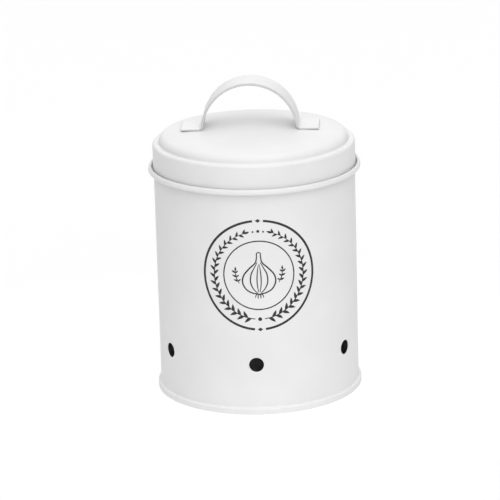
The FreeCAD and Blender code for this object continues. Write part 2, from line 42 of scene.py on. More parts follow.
# ================================================================ mesh tools
# Sections are drawn as (radius, height) in mm.  A section is walked with the
# sheet's material on the right hand, so the outside lies on the left.
class Build:
    """Collects the vertices, wished normals and faces of one piece, in mm."""

    def __init__(self):
        self.v, self.n, self.f, self.m = [], [], [], []

    def add(self, p, normal=(0.0, 0.0, 0.0)):
        self.v.append(tuple(p))
        self.n.append(tuple(normal))
        return len(self.v) - 1

    def face(self, idx, mat=0):
        idx = list(dict.fromkeys(idx))
        if len(idx) >= 3:
            self.f.append(idx)
            self.m.append(mat)

    def skin(self, a, b, closed=True, skip=(), mat=0):
        """Quads between two equally long rows of vertices."""
        k = len(a)
        for i in range(k if closed else k - 1):
            if i in skip:
                continue
            j = (i + 1) % k
            self.face([a[i], a[j], b[j], b[i]], mat)

    def make(self, name, body, materials, replaces=()):
        me = bpy.data.meshes.new(name)
        me.from_pydata([(x * MM, y * MM, z * MM) for x, y, z in self.v], [], self.f)
        me.polygons.foreach_set("material_index", self.m)
        me.update()
        bm = bmesh.new()
        bm.from_mesh(me)
        bmesh.ops.recalc_face_normals(bm, faces=bm.faces)
        if bm.calc_volume(signed=True) < 0:
            bmesh.ops.reverse_faces(bm, faces=bm.faces)
        loose = sum(1 for e in bm.edges if len(e.link_faces) != 2)
        volume = bm.calc_volume() * 1e9
        bm.to_mesh(me)
        bm.free()
        assert len(me.vertices) == len(self.v)
        me.polygons.foreach_set("use_smooth", [True] * len(me.polygons))
        for m in materials:
            me.materials.append(m)
        if any(n != (0.0, 0.0, 0.0) for n in self.n):
            me.normals_split_custom_set_from_vertices(self.n)
        ob = bpy.data.objects.new(name, me)
        bpy.context.scene.collection.objects.link(ob)
        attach(ob, body)
        if replaces:
            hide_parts(*replaces)
        print("piece", name, "verts", len(me.vertices), "faces", len(me.polygons),
              "volume mm3", round(volume, 1), "open or shared edges", loose)
        return ob


def rounded(corners, closed=True, fine=7):
    """Section from corners (r, z, rounding).  Returns (r, z, nr, nz) points;
    a rounding of 0 keeps the point as it is and shares its normal."""
    k, out = len(corners), []
    P = [Vector((c[0], c[1])) for c in corners]
    for i, (x, z, rad) in enumerate(corners):
        if not closed and i in (0, k - 1):
            d = (P[1] - P[0]) if i == 0 else (P[-1] - P[-2])
            d.normalize()
            out.append((x, z, -d.y, d.x))
            continue
        a, b, c = P[i - 1], P[i], P[(i + 1) % k]
        u, w = (b - a).normalized(), (c - b).normalized()
        turn = math.atan2(u.x * w.y - u.y * w.x, u.dot(w))
        if rad <= 0 or abs(turn) < 1e-4:
            n = Vector((-u.y, u.x)) + Vector((-w.y, w.x))
            n.normalize()
            out.append((x, z, n.x, n.y))
            continue
        t = rad * math.tan(abs(turn) / 2)
        steps = max(2, int(math.ceil(abs(turn) / (math.pi / 2) * fine)))
        s = 1.0 if turn > 0 else -1.0          # left turn: hollow corner
        start = b - u * t
        n0 = Vector((-u.y, u.x))
        centre = start + n0 * rad * s
        for q in range(steps + 1):
            ang = turn * q / steps
            n = Vector((n0.x * math.cos(ang) - n0.y * math.sin(ang),
                        n0.x * math.sin(ang) + n0.y * math.cos(ang)))
            p = centre - n * rad * s
            out.append((p.x, p.y, n.x, n.y))
    return out


def arc(cx, cz, r, a0, a1, n):
    s = 1.0 if a1 < a0 else -1.0
    out = []
    for i in range(n + 1):
        a = math.radians(a0 + (a1 - a0) * i / n)
        out.append((cx + r * math.cos(a), cz + r * math.sin(a), s * math.cos(a), s * math.sin(a)))
    return out


def join(*parts):
    """Joins section pieces and merges the points where they meet."""
    out = []
    for part in parts:
        for p in part:
            if out and math.hypot(out[-1][0] - p[0], out[-1][1] - p[1]) < 1e-4:
                continue
            out.append(p)
    return out


def densify(path, rows, closed=True):
    """Adds points to straight runs: rows is a list of (z levels) for upright
    runs, and every long run gets one point close to each end."""
    out, k = [], len(path)
    for i in range(k if closed else k - 1):
        a, b = path[i], path[(i + 1) % k]
        out.append(a)
        length = math.hypot(b[0] - a[0], b[1] - a[1])
        straight = abs((b[0] - a[0]) * a[2] + (b[1] - a[1]) * a[3]) < 1e-3 * max(length, 1e-9)
        if not straight or length < 1.6:
            continue
        upright = abs(b[0] - a[0]) < 1e-6
        near = 0.25 / length
        stops = {near, 1 - near}
        if upright and length > 20:
            stops = {(z - a[1]) / (b[1] - a[1]) for z in rows}
            stops = {t for t in stops if 0.0005 < t < 0.9995}
        for t in sorted(stops):
            out.append((a[0] + (b[0] - a[0]) * t, a[1] + (b[1] - a[1]) * t, a[2], a[3]))
    if not closed:
        out.append(path[-1])
    return out


def ring(b, p, angles, lift=None):
    """One row of vertices round Z.  A point on the axis is one vertex."""
    x, z, nx, nz = p
    if x < 1e-6:
        return [b.add((0, 0, z), (0, 0, nz))] * len(angles)
    row = []
    for i, a in enumerate(angles):
        c, s = math.cos(a), math.sin(a)
        h = lift[i] if lift is not None else 0.0
        flat = lift is not None and lift_zone[i]
        row.append(b.add(((x + h) * c, (x + h) * s, z), (0, 0, 0) if flat else (nx * c, nx * s, nz)))
    return row


# ================================================================ materials
def node(nt, kind, **kw):
    n = nt.nodes.new(kind)
    for k, v in kw.items():
        setattr(n, k, v)
    return n


def noise(nt, coords, scale, detail, rough=0.5, offset=(0, 0, 0), distortion=0.0):
    mp = node(nt, "ShaderNodeMapping")
    mp.inputs["Location"].default_value = offset
    nt.links.new(coords, mp.inputs["Vector"])
    n = node(nt, "ShaderNodeTexNoise")
    n.inputs["Scale"].default_value = scale
    n.inputs["Detail"].default_value = detail
    n.inputs["Roughness"].default_value = rough
    n.inputs["Distortion"].default_value = distortion
    nt.links.new(mp.outputs["Vector"], n.inputs["Vector"])
    return n.outputs["Fac"]


def remap(nt, value, a, b, c, d):
    m = node(nt, "ShaderNodeMapRange")
    m.inputs["From Min"].default_value = a
    m.inputs["From Max"].default_value = b
    m.inputs["To Min"].default_value = c
    m.inputs["To Max"].default_value = d
    m.clamp = True
    nt.links.new(value, m.inputs["Value"])
    return m.outputs["Result"]


def maths(nt, op, a, b=None):
    m = node(nt, "ShaderNodeMath", operation=op)
    for i, x in enumerate((a, b)):
        if x is None:
            continue
        if isinstance(x, (int, float)):
            m.inputs[i].default_value = x
        else:
            nt.links.new(x, m.inputs[i])
    return m.outputs[0]


def tint(nt, fac, a, b):
    m = node(nt, "ShaderNodeMix", data_type="RGBA")
    for sock, col in ((m.inputs[6], a), (m.inputs[7], b)):
        if isinstance(col, tuple):
            sock.default_value = (*col, 1.0)
        else:
            nt.links.new(col, sock)
    nt.links.new(fac, m.inputs[0])
    return m.outputs[2]


def powder_coat(name, white, offset, rough=(0.46, 0.60), peel=1.0, rub=None):
    """Satin powder coat: soft cloudiness, fine orange peel, a few dust nibs.
    rub = (low z, high z) in metres, where the coat is rubbed by use."""
    m = bpy.data.materials.new(name)
    m.use_nodes = True
    nt = m.node_tree
    p = nt.nodes["Principled BSDF"]
    p.inputs["IOR"].default_value = 1.5
    co = node(nt, "ShaderNodeTexCoord").outputs["Object"]
    cloud = noise(nt, co, 34.0, 3.0, 0.55, offset)
    grain = noise(nt, co, 1500.0, 2.0, 0.6, offset)
    orange = noise(nt, co, 620.0, 2.0, 0.45, (offset[1], offset[2], offset[0]))
    deep = tuple(c * 0.972 for c in white)
    pale = tuple(min(1.0, c * 1.012) for c in white)
    col = tint(nt, remap(nt, cloud, 0.32, 0.68, 0.0, 1.0), deep, pale)
    fine = tuple(c * 0.955 for c in white)
    col = tint(nt, remap(nt, grain, 0.56, 0.78, 0.0, 0.55), col, fine)
    # dust nibs caught in the coat, about one in a few square centimetres
    vo = node(nt, "ShaderNodeTexVoronoi", feature="F1")
    vo.inputs["Scale"].default_value = 95.0
    vo.inputs["Randomness"].default_value = 1.0
    nt.links.new(co, vo.inputs["Vector"])
    nib = remap(nt, vo.outputs["Distance"], 0.0, 0.032, 1.0, 0.0)
    col = tint(nt, maths(nt, "MULTIPLY", nib, 0.25), col, tuple(c * 0.8 for c in white))
    r = remap(nt, cloud, 0.25, 0.75, rough[0], rough[1])
    r = maths(nt, "ADD", r, remap(nt, grain, 0.3, 0.7, -0.03, 0.03))
    if rub:
        sep = node(nt, "ShaderNodeSeparateXYZ")
        nt.links.new(co, sep.inputs[0])
        level = remap(nt, sep.outputs["Z"], rub[0], rub[1], 1.0, 0.0)
        marks = noise(nt, co, 520.0, 4.0, 0.55, offset, 0.3)
        rubbed = maths(nt, "MULTIPLY", level, remap(nt, marks, 0.42, 0.70, 0.0, 0.28))
        col = tint(nt, rubbed, col, (0.50, 0.50, 0.49))
        r = maths(nt, "ADD", r, maths(nt, "MULTIPLY", rubbed, 0.15))
    nt.links.new(col, p.inputs["Base Color"])
    nt.links.new(r, p.inputs["Roughness"])
    b1 = node(nt, "ShaderNodeBump")
    b1.inputs["Strength"].default_value = 0.55 * peel
    b1.inputs["Distance"].default_value = 0.00003
    nt.links.new(orange, b1.inputs["Height"])
    b2 = node(nt, "ShaderNodeBump")
    b2.inputs["Strength"].default_value = 0.35 * peel
    b2.inputs["Distance"].default_value = 0.000012
    nt.links.new(maths(nt, "ADD", grain, maths(nt, "MULTIPLY", nib, 2.0)), b2.inputs["Height"])
    nt.links.new(b1.outputs["Normal"], b2.inputs["Normal"])
    nt.links.new(b2.outputs["Normal"], p.inputs["Normal"])
    return m


def ink(name, black, offset):
    """Screen-printed black: slightly uneven cover and a dry, matt surface."""
    m = bpy.data.materials.new(name)
    m.use_nodes = True
    nt = m.node_tree
    p = nt.nodes["Principled BSDF"]
    p.inputs["IOR"].default_value = 1.45
    co = node(nt, "ShaderNodeTexCoord").outputs["Object"]
    cover = noise(nt, co, 260.0, 4.0, 0.6, offset)
    grain = noise(nt, co, 2600.0, 2.0, 0.5, offset)
    col = tint(nt, remap(nt, cover, 0.35, 0.7, 0.0, 1.0), black, tuple(c * 1.7 for c in black))
    nt.links.new(col, p.inputs["Base Color"])
    nt.links.new(remap(nt, grain, 0.3, 0.7, 0.5, 0.66), p.inputs["Roughness"])
    b = node(nt, "ShaderNodeBump")
    b.inputs["Strength"].default_value = 0.4
    b.inputs["Distance"].default_value = 0.00001
    nt.links.new(grain, b.inputs["Height"])
    nt.links.new(b.outputs["Normal"], p.inputs["Normal"])
    return m


WHITE = (0.76, 0.76, 0.76)
CUT_SHADE_COLOUR = (0.60, 0.60, 0.60)                # the strap's cut edges get a darker coat: painted shade on these narrow faces
coat_wall = powder_coat("coat_wall", WHITE, (0.11, 0.37, 0.05))
coat_base = powder_coat("coat_base", WHITE, (0.53, 0.21, 0.77), rub=(0.00006, 0.00055))
coat_lid = powder_coat("coat_lid", WHITE, (0.29, 0.83, 0.41))
coat_strap = powder_coat("coat_strap", WHITE, (0.71, 0.13, 0.59), rough=(0.44, 0.56), peel=0.9)
# painted shade: a darker coat for the strap's cut edges
coat_cut_shade = powder_coat("coat_cut_shade", CUT_SHADE_COLOUR, (0.47, 0.91, 0.23), rough=(0.55, 0.7), peel=1.2)
ink_black = ink("ink_black", (0.017, 0.017, 0.018), (0.31, 0.61, 0.17))

# ================================================================ canister wall
RO, RI = 65.0, 64.5                    # outside and inside of the sheet
VENT_R, VENT_Z, VENT_EDGE = 4.725, 33.0, 0.16
PITCH = math.radians(1.0) * RO         # the wall's grid: one degree wide
SEAM_AT = 60.0                         # azimuth of the lock seam, degrees

# columns: one degree apart, closer over the lock seam
seam = [(-3.3, 0.0), (-3.02, 0.0), (-3.0, 0.03), (-2.94, 0.16), (-2.82, 0.28), (-2.66, 0.375), (-2.45, 0.43),
        (-2.2, 0.45), (-1.2, 0.445), (0.0, 0.435), (1.2, 0.44), (2.0, 0.45), (2.3, 0.44), (2.5, 0.40),
        (2.68, 0.31), (2.82, 0.2), (2.94, 0.1), (3.08, 0.035), (3.3, 0.0)]
angles, lift, lift_zone = [], [], []
for deg in range(360):
    if deg == int(SEAM_AT):
        for s, h in seam:
            angles.append(math.radians(SEAM_AT) + s / RO)
            lift.append(h)
            lift_zone.append(-3.25 < s < 3.25)
    elif abs(deg - SEAM_AT) > 2.95:
        angles.append(math.radians(deg))
        lift.append(0.0)
        lift_zone.append(False)
column = {deg: min(range(len(angles)), key=lambda i: abs(angles[i] - math.radians(deg % 360)))
          for deg in range(0, 360)}

vent_rows = [VENT_Z + PITCH * j for j in range(-6, 7)]
rows = [3.9, 4.7, 9.0, 14.0, 20.0] + vent_rows + [46.0 + 8.0 * i for i in range(12)] + [140.5, 143.7, 144.4]


def flap(fr, ex, fx=67.25, fz=148.3, ez=146.95):
    """The rim's flap: an arc level with the curl that touches the fold."""
    lo, hi = ex - 60.0, ex - 2.0
    for _ in range(80):
        cx = (lo + hi) / 2
        if math.hypot(fx - cx, fz - ez) > (ex - cx) - fr:
            hi = cx
        else:
            lo = cx
    return cx, ex - cx, math.degrees(math.atan2(fz - ez, fx - cx))


co_x, co_r, co_a = flap(0.95, 68.5)
ci_x, ci_r, ci_a = flap(0.45, 68.0)
section = join(
    rounded([(65.75, 1.05, 0), (65.75, 3.0, 0.12), (66.25, 3.0, 0.12), (66.25, 0.55, 0.4), (64.5, 0.55, 0.4),
             (64.5, 146.1, 0.6), (66.3, 146.1, 0.4), (66.3, 148.3, 0)], closed=False)[1:],
    arc(67.25, 148.3, 0.95, 180.0, co_a, 14),
    arc(co_x, 146.95, co_r, co_a, 0.0, 10),
    arc(67.25, 146.95, 1.25, 0.0, -90.0, 12),
    rounded([(67.25, 145.7, 0), (67.2, 145.7, 0.04), (67.2, 146.2, 0.04), (67.25, 146.2, 0)], closed=False, fine=3),
    arc(67.25, 146.95, 0.75, -90.0, 0.0, 6),
    arc(ci_x, 146.95, ci_r, 0.0, ci_a, 8),
    arc(67.25, 148.3, 0.45, ci_a, 180.0, 6),
    rounded([(66.8, 148.3, 0), (66.8, 145.6, 0.6), (65.0, 145.6, 0.6), (65.0, 1.05, 0.25),
             (65.75, 1.05, 0.25), (65.75, 3.0, 0)], closed=False)[:-1],
)
section = densify(section, rows)
wall = Build()
rings, kinds = [], []
for p in section:
    outer = abs(p[0] - RO) < 1e-6 and 1.4 < p[1] < 144.9
    inner = abs(p[0] - RI) < 1e-6 and 1.4 < p[1] < 144.9
    fade = 0.0 if p[1] < 4.2 or p[1] > 144.0 else 1.0
    rings.append(ring(wall, p, angles, [h * fade for h in lift] if outer else None))
    kinds.append((outer, inner, p[1]))


def cells(zlow):
    """Columns of the grid left open for the vents, if this row of cells is."""
    if not (vent_rows[0] - 1e-6 <= zlow < vent_rows[-1] - 1e-6):
        return ()
    out = set()
    for k in range(6):
        mid = -90 + 60 * k
        for q in range(-6, 6):
            out.add(column[(mid + q) % 360])
    return out


for i in range(len(rings)):
    j = (i + 1) % len(rings)
    a, b_ = kinds[i], kinds[j]
    same = (a[0] and b_[0]) or (a[1] and b_[1])
    wall.skin(rings[i], rings[j], skip=cells(min(a[2], b_[2])) if same else ())


def level(side, z):
    for k, row in zip(kinds, rings):
        if k[side] and abs(k[2] - z) < 1e-6:
            return row
    raise RuntimeError("no row at %g" % z)


def border(side, mid):
    """The 48 grid vertices round a vent, and their places in its plane."""
    r = RO if side == 0 else RI
    ij = [(6, j) for j in range(-6, 6)] + [(-j, 6) for j in range(-6, 6)] \
        + [(-6, -j) for j in range(-6, 6)] + [(j, -6) for j in range(-6, 6)]
    lev = {j: level(side, VENT_Z + PITCH * j) for j in range(-6, 7)}
    idx = [lev[j][column[(mid + i) % 360]] for i, j in ij]
    place = [(r * math.sin(math.radians(i)), PITCH * j) for i, j in ij]
    return idx, place


for k in range(6):
    mid = -90 + 60 * k
    az = math.radians(mid)
    eo, el = (math.cos(az), math.sin(az)), (-math.sin(az), math.cos(az))

    loops = []
    for side in (0, 1):
        idx, place = border(side, mid)
        r = RO if side == 0 else RI
        sgn = 1.0 if side == 0 else -1.0
        part = [idx]
        for t in (0.3, 0.58, 0.8, 0.93, 1.0):
            row = []
            for q, (sx, sz) in enumerate(place):
                phi = math.radians(-45 + 7.5 * q)
                cx, cz = (VENT_R + VENT_EDGE) * math.cos(phi), (VENT_R + VENT_EDGE) * math.sin(phi)
                lat, dz = sx + (cx - sx) * t, sz + (cz - sz) * t
                depth = math.sqrt(r * r - lat * lat)
                p = (el[0] * lat + eo[0] * depth, el[1] * lat + eo[1] * depth, VENT_Z + dz)
                row.append(wall.add(p, (sgn * p[0] / r, sgn * p[1] / r, 0.0)))
            part.append(row)
        for a in (22.5, 45.0, 67.5, 90.0):
            ca, sa = math.cos(math.radians(a)), math.sin(math.radians(a))
            row = []
            for q in range(48):
                phi = math.radians(-45 + 7.5 * q)
                rho = VENT_R + VENT_EDGE * (1 - sa)
                rr = r - sgn * VENT_EDGE * (1 - ca)
                lat, dz = rho * math.cos(phi), rho * math.sin(phi)
                depth = math.sqrt(rr * rr - lat * lat)
                p = (el[0] * lat + eo[0] * depth, el[1] * lat + eo[1] * depth, VENT_Z + dz)
                nw = (sgn * p[0] / rr, sgn * p[1] / rr, 0.0)
                nh = (-math.cos(phi) * el[0], -math.cos(phi) * el[1], -math.sin(phi))
                row.append(wall.add(p, tuple(ca * nw[c] + sa * nh[c] for c in range(3))))
            part.append(row)
        loops.append(part)
    for part in loops:
        for a, b_ in zip(part, part[1:]):
            wall.skin(a, b_)
    wall.skin(loops[0][-1], loops[1][-1])
wall_piece = wall.make("canister_wall", "canister", [coat_wall], ["body_wall"])

# ================================================================ pressed bottom
plain = [math.radians(1.0 * k) for k in range(360)]


def spread(path, stops):
    """Extra points on level runs that reach the axis, so that faces stay even."""
    out = []
    for a, b_ in zip(path, path[1:]):
        out.append(a)
        lo, hi = min(a[0], b_[0]), max(a[0], b_[0])
        inside = [r for r in stops if lo + 0.3 < r < hi - 0.3]
        if hi - lo > 4:
            for r in sorted(inside, reverse=a[0] > b_[0]):
                t = (r - a[0]) / (b_[0] - a[0])
                out.append((r, a[1] + (b_[1] - a[1]) * t, a[2], a[3]))
    out.append(path[-1])
    return out


# outside, the coat closes the joint between the seam and the wall with a small fillet
base = Build()
bottom = rounded([
    (0, 5.0, 0), (55, 5.0, 1.2), (56.6, 4.1, 1.2), (64.45, 4.1, 2.1), (64.45, 0.5, 0.12), (66.3, 0.5, 0.12),
    (66.3, 3.3, 0.4), (65.6, 3.3, 0.12), (65.6, 1.2, 0.12), (65.1, 1.2, 0.03), (65.02, 4.98, 0.01), (65.3, 4.05, 1.0), (66.8, 3.7, 0.9),
    (66.8, 0, 0.5), (63.95, 0, 0.5), (63.95, 3.6, 1.6), (56.6, 3.6, 1.2), (55, 4.5, 1.2), (0, 4.5, 0)],
    closed=False, fine=8)
bottom = spread(densify(bottom, [], closed=False), [1.5, 5, 11, 18, 26, 34, 42, 49, 53])
brings = [ring(base, p, plain) for p in bottom]
for a, b_ in zip(brings, brings[1:]):
    base.skin(a, b_)
base_piece = base.make("pressed_base", "canister", [coat_base], ["base_disc"])


# ================================================================ lid
def lid_face(inset):
    """The lid's outside (inset 0) or inside (inset 0.5) from the top centre
    to the skirt: nearly level dome, shoulder, edge, drop, valley and ridge."""
    t = inset
    rc, zt = 1500.0 - t, 172.6 - t
    x1 = 40.0 * rc / 1500.0
    ca = (0.0, zt - rc)
    t1 = math.asin(x1 / rc)
    p1 = (x1, ca[1] + rc * math.cos(t1))
    rb = 78.0 - t
    cb = (p1[0] - rb * math.sin(t1), p1[1] - rb * math.cos(t1))
    hub = 40.0 * (1.0 - 78.0 / 1500.0)
    tb = math.asin((57.3 - hub) / 78.0)
    rn = 5.0 - t
    ce = (cb[0] + (rb - rn) * math.sin(tb), cb[1] + (rb - rn) * math.cos(tb))
    rr, cr = 2.0 - t, (63.3, 162.5)
    rd = 0.9 + t                     # the coat fills the valley a little
    cd = (62.0, cr[1] + math.sqrt((rr + rd) ** 2 - (cr[0] - 62.0) ** 2))
    dx, dz = cd[0] - ce[0], cd[1] - ce[1]
    drop = math.degrees(math.atan2(dz, dx) + math.acos((rn + rd) / math.hypot(dx, dz)))
    meet = math.degrees(math.atan2(cd[1] - cr[1], cd[0] - cr[0]))
    dome = []
    for r in (0, 0.8, 2.2, 4.5, 8, 12, 16, 20, 24, 28, 32, 36, 40.0):
        a = math.asin(r / 1500.0)
        dome.append((rc * math.sin(a), ca[1] + rc * math.cos(a), math.sin(a), math.cos(a)))
    return join(
        dome,
        arc(cb[0], cb[1], rb, 90 - math.degrees(t1), 90 - math.degrees(tb), 22),
        arc(ce[0], ce[1], rn, 90 - math.degrees(tb), drop, 14),
        arc(cd[0], cd[1], rd, 180 + drop, 180 + meet, 8),
        arc(cr[0], cr[1], rr, meet, 0, 16))


lid = Build()
outside, inside = lid_face(0.0), lid_face(0.5)
skirt = [(65.3, z, 1.0, 0.0) for z in (162.0, 158.0, 153.5, 149.0, 147.4)]
hem = rounded([(65.3, 150.0, 0), (65.3, 146.4, 0.24), (64.8, 146.4, 0.24), (64.8, 150.0, 0)], closed=False, fine=5)[1:-1]
back = [(64.8, z, -1.0, 0.0) for z in (147.4, 149.0, 153.5, 158.0, 162.0)]
lid_path = outside + skirt + hem + back + [(x, z, -nx, -nz) for x, z, nx, nz in reversed(inside)]
lrings = [ring(lid, p, plain) for p in lid_path]
for a, b_ in zip(lrings, lrings[1:]):
    lid.skin(a, b_)
lid_piece = lid.make("domed_lid", "lid", [coat_lid], ["lid_shell"])

# ================================================================ handle strap
THICK, FOOT, HALF, CORNER, EDGE = 1.6, 1.0, 11.9, 0.9, 0.42
ARCH, ARCH_Z, BEND, FOOT_TOP, REACH = 31.4, 171.8, 1.9, 173.3, 44.5
WELD = 38.5
bend_x = math.sqrt((ARCH + BEND) ** 2 - (FOOT_TOP + BEND - ARCH_Z) ** 2)
tilt = math.atan2(FOOT_TOP + BEND - ARCH_Z, bend_x)
under_z = FOOT_TOP - FOOT + BEND + THICK                 # centre of the bend's outer round
under_x = math.sqrt((ARCH + BEND) ** 2 - (under_z - ARCH_Z) ** 2)


def strap_path():
    """Top face from the left foot's end to the right one's: (x, z, nx, nz, s)."""
    half, s = [], 0.0
    foot_len = REACH - bend_x
    for k in range(23):                                  # foot, from its end inwards
        t = foot_len * k / 22
        half.append((REACH - t, FOOT_TOP, 0.0, 1.0, t))
    s = foot_len
    for k in range(1, 15):                               # bend up into the arch
        a = math.radians(270) - (math.radians(90) - tilt) * k / 14
        half.append((bend_x + BEND * math.cos(a), FOOT_TOP + BEND + BEND * math.sin(a),
                     -math.cos(a), -math.sin(a), s + BEND * (math.radians(90) - tilt) * k / 14))
    s = half[-1][4]
    for k in range(1, 41):                               # arch up to its top
        a = tilt + (math.pi / 2 - tilt) * k / 40
        half.append((ARCH * math.cos(a), ARCH_Z + ARCH * math.sin(a), math.cos(a), math.sin(a),
                     s + ARCH * (a - tilt)))
    total = half[-1][4]
    left = [(-x, z, -nx, nz, q) for x, z, nx, nz, q in half]
    right = [(x, z, nx, nz, 2 * total - q) for x, z, nx, nz, q in reversed(half[:-1])]
    return left + right, 2 * total


path, LENGTH = strap_path()
PS = np.array([p[4] for p in path])


def on_path(s):
    out = [float(np.interp(s, PS, [p[c] for p in path])) for c in range(4)]
    k = math.hypot(out[2], out[3])
    return out[0], out[1], out[2] / k, out[3] / k


FOOT_LEN = REACH - bend_x
BEND_LEN = BEND * (math.radians(90) - tilt)


def sheet(s):
    """Thickness of the strip at s: thin feet, full in the arch."""
    q = min(s, LENGTH - s)
    if q <= FOOT_LEN:
        return FOOT
    if q >= FOOT_LEN + BEND_LEN:
        return THICK
    a = math.radians(270) - (q - FOOT_LEN) / BEND
    ux, uz = math.cos(a), math.sin(a)
    dx, dz = bend_x - under_x, FOOT_TOP + BEND - under_z
    along = dx * ux + dz * uz
    return -along + math.sqrt(along ** 2 - dx * dx - dz * dz + (BEND + THICK) ** 2) - BEND


turn = math.radians(-1.25)


def strap_point(s, w, depth, shift=0.0):
    x, z, nx, nz = on_path(s)
    d = depth + shift
    px, pz = x - nx * d, z - nz * d
    return (px * math.cos(turn) - w * math.sin(turn) - 1.9, px * math.sin(turn) + w * math.cos(turn) + 4.0, pz)


def strap_normal(s, along, across, up):
    _, _, nx, nz = on_path(s)
    tx, tz = nz, -nx                                     # direction of growing s
    v = (tx * along + nx * up, across, tz * along + nz * up)
    k = math.sqrt(sum(q * q for q in v)) or 1.0
    v = tuple(q / k for q in v)
    return (v[0] * math.cos(turn) - v[1] * math.sin(turn), v[0] * math.sin(turn) + v[1] * math.cos(turn), v[2])


BETA = [math.radians(15 * k) for k in range(7)]
inner_s = [p[4] for p in path if CORNER + 0.2 < p[4] < LENGTH - CORNER - 0.2]
COLS = 38


def rows_at(inset):
    """(s, half width, outline direction) of every row for this inset."""
    out = []
    c = CORNER - inset
    for b_ in BETA:
        out.append((CORNER - c * math.cos(b_), HALF - CORNER + c * math.sin(b_), (-math.cos(b_), math.sin(b_))))
    for s in inner_s:
        out.append((s, HALF - inset, (0.0, 1.0)))
    for b_ in reversed(BETA):
        out.append((LENGTH - CORNER + c * math.cos(b_), HALF - CORNER + c * math.sin(b_), (math.cos(b_), math.sin(b_))))
    return out


def dent(s, w, wide, deep):
    """Round spot-weld mark in each foot: depth at (s, w)."""
    best = 0.0
    for q, depth in ((REACH - WELD, deep[0]), (LENGTH - (REACH - WELD), deep[1])):
        r = math.hypot(s - q, w) / wide
        if r < 1:
            best = max(best, depth * (1 - r * r) ** 2)
    return best


strap = Build()


def face_grid(depth, up, wide, deep):
    grid = []
    for s, half, _ in rows_at(EDGE):
        row = []
        q = min(s, LENGTH - s)
        turning = up < 0 and FOOT_LEN - 0.5 < q < FOOT_LEN + BEND_LEN + 0.8
        for j in range(COLS + 1):
            w = half * (2 * j / COLS - 1)
            dd = dent(s, w, wide, deep)
            row.append(strap.add(strap_point(s, w, depth(s), dd),
                                 (0, 0, 0) if dd > 0 or turning else strap_normal(s, 0, 0, up)))
        grid.append(row)
    return grid


top = face_grid(lambda s: 0.0, 1.0, 2.1, (0.26, 0.26))
under = face_grid(sheet, -1.0, 2.3, (0.39, 0.25))
for grid in (top, under):
    for a, b_ in zip(grid, grid[1:]):
        strap.skin(a, b_, closed=False)


def outline(grid):
    return grid[0] + [r[-1] for r in grid[1:-1]] + grid[-1][::-1] + [r[0] for r in grid[-2:0:-1]]


def edge_loop(inset, depth, side, up):
    rs = rows_at(inset)
    loop = []

    def put(s, w, d, wide):
        loop.append(strap.add(strap_point(s, w, depth(s)), strap_normal(s, d[0] * side, wide * side, up)))

    s, half, d = rs[0]
    for j in range(COLS + 1):
        put(s, half * (2 * j / COLS - 1), d, 0.0)
    for s, half, d in rs[1:-1]:
        put(s, half, d, d[1])
    s, half, d = rs[-1]
    for j in range(COLS, -1, -1):
        put(s, half * (2 * j / COLS - 1), d, 0.0)
    for s, half, d in rs[-2:0:-1]:
        put(s, -half, d, -d[1])
    return loop


loops = [outline(top)]
for a in (22.5, 45.0, 67.5, 90.0):
    ca, sa = math.cos(math.radians(a)), math.sin(math.radians(a))
    loops.append(edge_loop(EDGE * (1 - sa), lambda s, c=ca: EDGE * (1 - c), sa, ca))
for a in (90.0, 67.5, 45.0, 22.5):
    ca, sa = math.cos(math.radians(a)), math.sin(math.radians(a))
    loops.append(edge_loop(EDGE * (1 - sa), lambda s, c=ca: sheet(s) - EDGE * (1 - c), sa, -ca))
loops.append(outline(under))
# the cut edges take the second, darker coat: painted shade
for a, b_ in zip(loops, loops[1:]):
    strap.skin(a, b_, mat=1)
strap_piece = strap.make("bent_handle", "lid", [coat_strap, coat_cut_shade], ["handle_strap"])

# ================================================================ print on the front
# A plain round kitchen mark: ring, wreath of leaves, thin ring and a bulb.
# Drawn flat in mm (u to the right, v up) and wrapped on the wall.
PRINT_AT, PRINT_Z = math.radians(-90 + 2.75), 92.6
mark = Build()


def wrap(u, v, lift_):
    a = PRINT_AT + u / RO
    r = RO + lift_
    return (r * math.cos(a), r * math.sin(a), PRINT_Z + v), (math.cos(a), math.sin(a), 0.0)


def film(grid, lift_=0.035, closed=False):
    """A thin solid of ink from a grid of (u, v) points."""
    topside, low = [], []
    for row in grid:
        t_, l_ = [], []
        for u, v in row:
            p, n = wrap(u, v, lift_)
            t_.append(mark.add(p, n))
            p, n = wrap(u, v, -0.08)
            l_.append(mark.add(p, (-n[0], -n[1], 0.0)))
        topside.append(t_)
        low.append(l_)
    k = len(grid)
    for g in (topside, low):
        for i in range(k if closed else k - 1):
            mark.skin(g[i], g[(i + 1) % k], closed=False)
    for c in (0, -1):
        a = [g[c] for g in topside]
        b_ = [g[c] for g in low]
        mark.skin(a, b_, closed=closed)
    if not closed:
        for i in (0, -1):
            mark.skin(topside[i], low[i], closed=False)


def band(r0, r1, a0, a1, step=1.5, lift_=0.035):
    """Part of a ring between two radii, angles in degrees."""
    n = max(2, int(math.ceil(abs(a1 - a0) / step)))
    k = max(1, int(math.ceil((r1 - r0) / 0.8)))
    grid = []
    full = abs(abs(a1 - a0) - 360) < 1e-6
    for i in range(n if full else n + 1):
        a = math.radians(a0 + (a1 - a0) * i / n)
        grid.append([((r0 + (r1 - r0) * j / k) * math.cos(a), (r0 + (r1 - r0) * j / k) * math.sin(a))
                     for j in range(k + 1)])
    film(grid, lift_, closed=full)


def smooth(pts, per=10):
    """Points along a soft curve through pts."""
    out, n = [], len(pts)
    for i in range(n - 1):
        p0 = pts[max(i - 1, 0)]
        p1, p2 = pts[i], pts[i + 1]
        p3 = pts[min(i + 2, n - 1)]
        for q in range(per):
            t = q / per
            out.append(tuple(0.5 * (2 * p1[c] + (p2[c] - p0[c]) * t + (2 * p0[c] - 5 * p1[c] + 4 * p2[c] - p3[c]) * t * t
                                    + (3 * p1[c] - p0[c] - 3 * p2[c] + p3[c]) * t ** 3) for c in range(len(p1))))
    out.append(tuple(pts[-1]))
    return out


